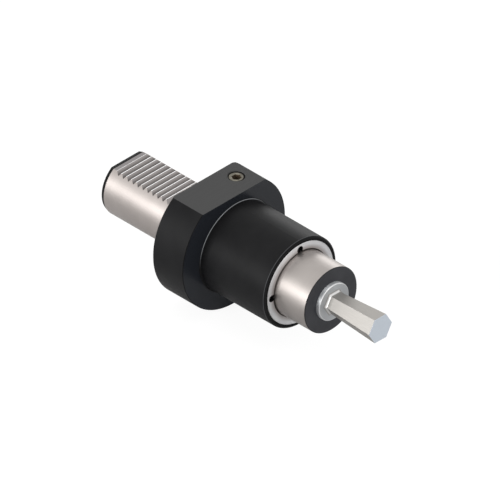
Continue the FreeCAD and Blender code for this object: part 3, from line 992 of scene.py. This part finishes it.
@dataclass
class SealRings:
    """Rubber rings at the foot of the shank and round the coolant inlet."""

    cord: float = 2.36
    mean_radius: float = 18.8
    centre: float = -2.4
    port_cord: float = 1.76
    port_mean_radius: float = 4.6
    port_centre: tuple[float, float, float] = (0.9, 16.0, 23.0)
    flash_share: float = 0.995
    cord_steps: int = 28
    segments: int = 128
    sharp: float = 50.0
    finish: NitrileRubber = NitrileRubber("nitrile_rubber")

    def ring(self, name: str, mean: float, cord: float, centre: float, place: Matrix) -> Object:
        """Build one ring with the flash line that its mould leaves.

        Args:
            name: Name of the piece.
            mean: Mean radius.
            cord: Thickness of the cord.
            centre: Station of its middle.
            place: Its place, in metres.

        Returns:
            The ring.
        """
        lathe = Lathe(name, self.segments, self.sharp)
        for index in range(self.cord_steps):
            angle = 2 * math.pi * index / self.cord_steps
            reach = cord / 2 * (1.0 if index % (self.cord_steps // 2) else self.flash_share)
            lathe.loop(centre + reach * math.sin(angle), mean + reach * math.cos(angle))
        return lathe.build(place, ring=True)

    def build(self) -> None:
        """Build and dress both rings."""
        made = self.finish.material()
        shank = self.ring("shank_o_ring_moulded", self.mean_radius, self.cord, self.centre, shift())
        settle(shank, made, "holder", "shank_o_ring")
        station, across, height = self.port_centre
        port = self.ring("coolant_port_o_ring_moulded", self.port_mean_radius, self.port_cord, station,
                         shift(0.0, across, height))
        settle(port, made, "holder", "coolant_port_o_ring")


@dataclass
class SocketScrew:
    """Headless screw with a hexagon socket: broken corners, drilled socket floor and a thread."""

    name: str
    finish: Finish
    body: str
    node: str
    radius: float
    length: float
    socket_apothem: float
    socket_depth: float
    pitch: float
    tip_chamfer: float
    rim_chamfer: float
    ridge_share: float = 0.5
    sunk_share: float = 0.75
    ridge_overlap: float = 0.02
    crest_clearance: float = 0.04
    corner_break: float = 0.25
    corner_depth: float = 0.35
    drill_share: float = 0.92
    drill_depth_share: float = 0.35
    segments: int = 72
    sharp: float = 25.0

    def build(self, place: Matrix) -> None:
        """Build the screw about its own axis, its head at the far end, and dress it.

        Args:
            place: Turn and shift to its place, in metres.
        """
        ridge = self.pitch * self.ridge_share
        root = self.radius - ridge * self.sunk_share
        floor = self.length - self.socket_depth
        corner = self.socket_apothem * 2 / math.sqrt(3)
        lathe = Lathe(self.name, self.segments, self.sharp)
        lathe.loop(0.0, 0.0).loop(0.0, root - self.tip_chamfer).loop(self.tip_chamfer, root)
        lathe.loop(self.length - self.rim_chamfer, self.radius - self.crest_clearance)
        lathe.loop(self.length, self.radius - self.rim_chamfer)
        lathe.loop(self.length, corner + self.corner_break)
        lathe.loop(self.length - self.corner_depth, self.socket_apothem, hexagon=True)
        lathe.loop(floor, self.socket_apothem, hexagon=True)
        lathe.loop(floor, self.socket_apothem * self.drill_share)
        lathe.loop(floor - self.socket_apothem * self.drill_depth_share, 0.0)
        screw = lathe.build(Matrix.Identity(4))
        upright = turn("Y", -90.0)
        start = self.tip_chamfer + self.pitch / 2
        screw.data.transform(upright)
        screw.data.transform(shift(height=-start))
        material = self.finish.material()
        made = Repeater(Pattern.THREAD).apply(screw, {
            "Material": material, "Pitch": self.pitch * MM, "Ridge height": ridge * MM,
            "Turns": (self.length - self.tip_chamfer - self.rim_chamfer) / self.pitch - 1.0,
            "Root radius": (self.radius - ridge - self.ridge_overlap) * MM}, shift(height=start))
        made.data.transform(upright.inverted())
        made.data.transform(place)
        settle(made, material, self.body, self.node)


@dataclass
class CoolantPlug:
    """Plug screw in the flange's flat."""

    station: float = 11.0
    across: float = 16.0
    top: float = 32.4
    length: float = 6.0
    finish: PlatedScrewSteel = PlatedScrewSteel("zinc_plated_screw")

    def build(self) -> None:
        """Build and dress the plug."""
        screw = SocketScrew(
            "coolant_plug_threaded", self.finish, "holder", "coolant_plug_screw", radius=5.0,
            length=self.length, socket_apothem=2.5, socket_depth=4.0, pitch=1.0, tip_chamfer=0.5,
            rim_chamfer=0.5)
        screw.build(shift(self.station, self.across, self.top - self.length) @ turn("Y", -90.0))


@dataclass
class ClampScrew:
    """Grub screw in the spindle's nose that bears on the broach's shank."""

    station: float = 89.0
    angle: float = 330.0
    tip: float = 7.02
    head: float = 19.5
    finish: BlackenedScrewSteel = BlackenedScrewSteel("blackened_screw")

    def build(self) -> None:
        """Build and dress the screw."""
        screw = SocketScrew(
            "clamp_screw_threaded", self.finish, "clamp_screw", "clamp_screw", radius=4.0,
            length=self.head - self.tip, socket_apothem=2.0, socket_depth=4.0, pitch=1.25, tip_chamfer=0.8,
            rim_chamfer=0.4)
        around = HEAD.matrix() @ turn("X", self.angle) @ shift(self.station)
        screw.build(around @ turn("Z", 90.0) @ shift(self.tip))


@dataclass
class Closure(CadPieces):
    """Retaining ring and shaft seal in the mouth of the barrel."""

    retaining_ring: Finish = SatinRingSteel("satin_steel_ring")
    seal_case: Finish = PressedSteel("pressed_steel")
    seal_lip: Finish = NitrileRubber("nitrile_rubber")


class Side(Enum):
    """The two bearings of the head."""

    FRONT = "front"
    REAR = "rear"


@dataclass
class RollerBearing:
    """Tapered roller bearing: its CAD rings and cage, and a ring of crowned rollers."""

    side: Side
    cone_back: float
    count: int = 17
    cup_small_inside: float = 41.135
    cup_angle: float = 14.036
    half_angle: float = 1.9
    width: float = 16.25
    cone_width: float = 15.0
    setback: float = 2.1
    roller_length: float = 9.4
    clearance: float = 0.04
    corner: float = 0.3
    crown: float = 0.02
    crown_steps: int = 4
    recess_depth: float = 0.35
    recess_shares: Span = (0.55, 0.45)
    segments: int = 24
    sharp: float = 25.0
    steel: BearingSteel = BearingSteel("bearing_steel")
    cage: PressedSteel = PressedSteel("pressed_steel")

    def apex(self) -> float:
        """Distance from the cones' common apex to the cup's small end."""
        return self.cup_small_inside / 2 / math.tan(math.radians(self.cup_angle))

    def place(self) -> Matrix:
        """Find the bearing's place on the head's axis.

        Returns:
            Place of the bearing's own frame, whose origin is the apex, in metres.
        """
        away = self.apex() + self.width
        if self.side is Side.FRONT:
            return HEAD.matrix() @ shift(self.cone_back - away)
        return HEAD.matrix() @ shift(self.cone_back + away) @ turn("Z", 180.0)

    def roller(self) -> Object:
        """Build one crowned roller with a recess in its large end.

        Returns:
            The roller, which leans on its raceway.
        """
        lean = self.cup_angle - self.half_angle
        small = self.apex() + self.width - self.cone_width
        start = (small + self.setback) / math.cos(math.radians(lean))
        slope = math.tan(math.radians(self.half_angle))
        lathe = Lathe(f"{self.side.value}_bearing_rollers_crowned", self.segments, self.sharp)
        lathe.loop(start, 0.0).loop(start, start * slope - self.clearance - self.corner)
        for index in range(self.crown_steps + 1):
            share = index / self.crown_steps
            along = start + self.corner + share * (self.roller_length - 2 * self.corner)
            drop = self.crown * (2 * share - 1) ** 2
            lathe.loop(along, along * slope - self.clearance - drop)
        end = start + self.roller_length
        big = end * slope - self.clearance
        rim, bottom = self.recess_shares
        lathe.loop(end, big - self.corner).loop(end, big * rim)
        lathe.loop(end - self.recess_depth, big * bottom).loop(end - self.recess_depth, 0.0)
        return lathe.build(turn("Y", -lean))

    def build(self) -> None:
        """Build the rollers and dress the CAD rings and the cage."""
        made = self.steel.material()
        rollers = Repeater(Pattern.RING).apply(
            self.roller(), {"Material": made, "Count": self.count}, self.place())
        side = self.side.value
        settle(rollers, made, f"{side}_cage", f"{side}_bearing_rollers")
        dress_node(f"{side}_bearing_cup", self.steel)
        dress_node(f"{side}_bearing_cone", self.steel)
        dress_node(f"{side}_bearing_cage", self.cage)


@dataclass
class SpindleStack(CadPieces):
    """Spindle with its spacers, lock washer and lock nut."""

    spindle: Finish = SpindleSteel("ground_spindle_steel")
    inner_spacer_sleeve: Finish = GroundSteel("ground_steel")
    outer_spacer_sleeve: Finish = GroundSteel("ground_steel")
    lock_washer: Finish = PressedSteel("pressed_steel")
    lock_nut: Finish = BlackenedScrewSteel("blackened_nut")


@dataclass
class HexagonBroach(CadPieces):
    """Broach in the spindle's nose."""

    broach: Finish = GroundToolSteel("ground_tool_steel")


# studio
@dataclass(frozen=True)
class Softbox:
    """Soft lamp that faces the object: its direction from there, its sizes in metres and its watts."""

    name: str
    direction: tuple[float, float, float]
    distance: float
    size: Span
    power: float


@dataclass
class Studio:
    """Camera, floor, world and lamps, with lengths in metres.

    Each pair of levels is for plain light and for what is seen.
    """

    azimuth: float = 45.0
    elevation: float = 35.264
    target: tuple[float, float, float] = (0.03793, 0.0, 0.00240)
    view_width: float = 0.2862
    distance: float = 1.2
    far: float = 20.0
    floor_height: float = -0.0417
    floor_half: float = 6.0
    floor_grey: Span = (0.56, 0.16)
    floor_glow: Span = (0.05, 0.90)
    world_levels: Span = (0.62, 1.0)
    lamps: tuple[Softbox, ...] = (
        Softbox("side softbox", (-0.208, -0.942, 0.265), 1.8, (0.76, 0.76), 27.0),
        Softbox("back softbox", (-0.577, 0.813, 0.16), 0.9, (0.6, 0.4), 1.1),
        Softbox("top softbox", (0.15, -0.1, 1.0), 1.3, (0.9, 0.9), 4.0),
    )

    def place(self, data: ID, way: Vector, distance: float) -> Object:
        """Put a camera or a lamp where it faces the object.

        Args:
            data: Data of the camera or the lamp, whose name it takes.
            way: Direction from the object.
            distance: Distance in metres.

        Returns:
            The new object.
        """
        made = bpy.data.objects.new(data.name, data)
        made.location = Vector(self.target) + way * distance
        made.rotation_euler = way.to_track_quat("Z", "Y").to_euler()
        bpy.context.scene.collection.objects.link(made)
        return made

    def camera(self) -> None:
        """Set up the photograph's view, which has no perspective."""
        a, e = math.radians(self.azimuth), math.radians(self.elevation)
        back = Vector((math.sin(a) * math.cos(e), -math.cos(a) * math.cos(e), math.sin(e)))
        data = bpy.data.cameras.new("view")
        data.type = "ORTHO"
        data.ortho_scale = self.view_width
        data.clip_end = self.far
        bpy.context.scene.camera = self.place(data, back, self.distance)

    def seen(self, tree: NodeTree) -> Signal:
        """Mask of what the camera, a reflection or a refraction sees, which plain light isn't."""
        path = add_node(tree, "ShaderNodeLightPath").outputs
        return Signal(tree, path["Is Camera Ray"]) | Signal(tree, path["Is Glossy Ray"]) | Signal(
            tree, path["Is Transmission Ray"])

    def world(self) -> None:
        """White on every side, with a plain level of light."""
        world = bpy.data.worlds.new("studio")
        world.use_nodes = True
        tree = world.node_tree
        tree.nodes.clear()
        light = signal(tree, "ShaderNodeBackground", {
            "Color": linear("ffffff"), "Strength": self.seen(tree).level(*self.world_levels)})
        add_node(tree, "ShaderNodeOutputWorld", {0: light})
        bpy.context.scene.world = world

    def floor(self) -> None:
        """Pale floor that shows white, with the object's soft shadow left on it."""
        half = self.floor_half
        corners = [(-half, -half), (half, -half), (half, half), (-half, half)]
        mesh = bpy.data.meshes.new("floor")
        mesh.from_pydata([(x, y, self.floor_height) for x, y in corners], [], [(0, 1, 2, 3)])
        made = bpy.data.objects.new("floor", mesh)
        bpy.context.scene.collection.objects.link(made)
        material = bpy.data.materials.new("pale_floor")
        material.use_nodes = True
        tree = material.node_tree
        tree.nodes.clear()
        view = signal(tree, "ShaderNodeLightPath", output="Is Camera Ray")
        matt = signal(tree, "ShaderNodeBsdfDiffuse", {"Color": view.level(*self.floor_grey)})
        glow = signal(tree, "ShaderNodeEmission", {
            "Color": linear("ffffff"), "Strength": view.level(*self.floor_glow) * self.seen(tree)})
        both = signal(tree, "ShaderNodeAddShader", {0: matt, 1: glow})
        add_node(tree, "ShaderNodeOutputMaterial", {"Surface": both})
        mesh.materials.append(material)

    def light(self, lamp: Softbox) -> None:
        """Add one lamp.

        Args:
            lamp: Its direction and sizes.
        """
        data = bpy.data.lights.new(lamp.name, "AREA")
        data.shape = "RECTANGLE"
        data.size, data.size_y = lamp.size
        data.energy = lamp.power
        self.place(data, Vector(lamp.direction).normalized(), lamp.distance)

    def build(self) -> None:
        """Build the whole studio."""
        self.camera()
        self.world()
        self.floor()
        for lamp in self.lamps:
            self.light(lamp)
        bpy.context.scene.view_settings.view_transform = "Standard"


def main() -> None:
    """Build the studio and every sub-assembly."""
    logging.basicConfig(level=logging.INFO, format="%(name)s: %(message)s")
    Studio().build()
    HolderBody().dress()
    SealRings().build()
    CoolantPlug().build()
    Closure().dress()
    SpindleStack().dress()
    RollerBearing(Side.FRONT, 64.8).build()
    RollerBearing(Side.REAR, 19.55).build()
    ClampScrew().build()
    HexagonBroach().dress()
    LOG.info("boxes written")


if __name__ == "__main__":
    main()
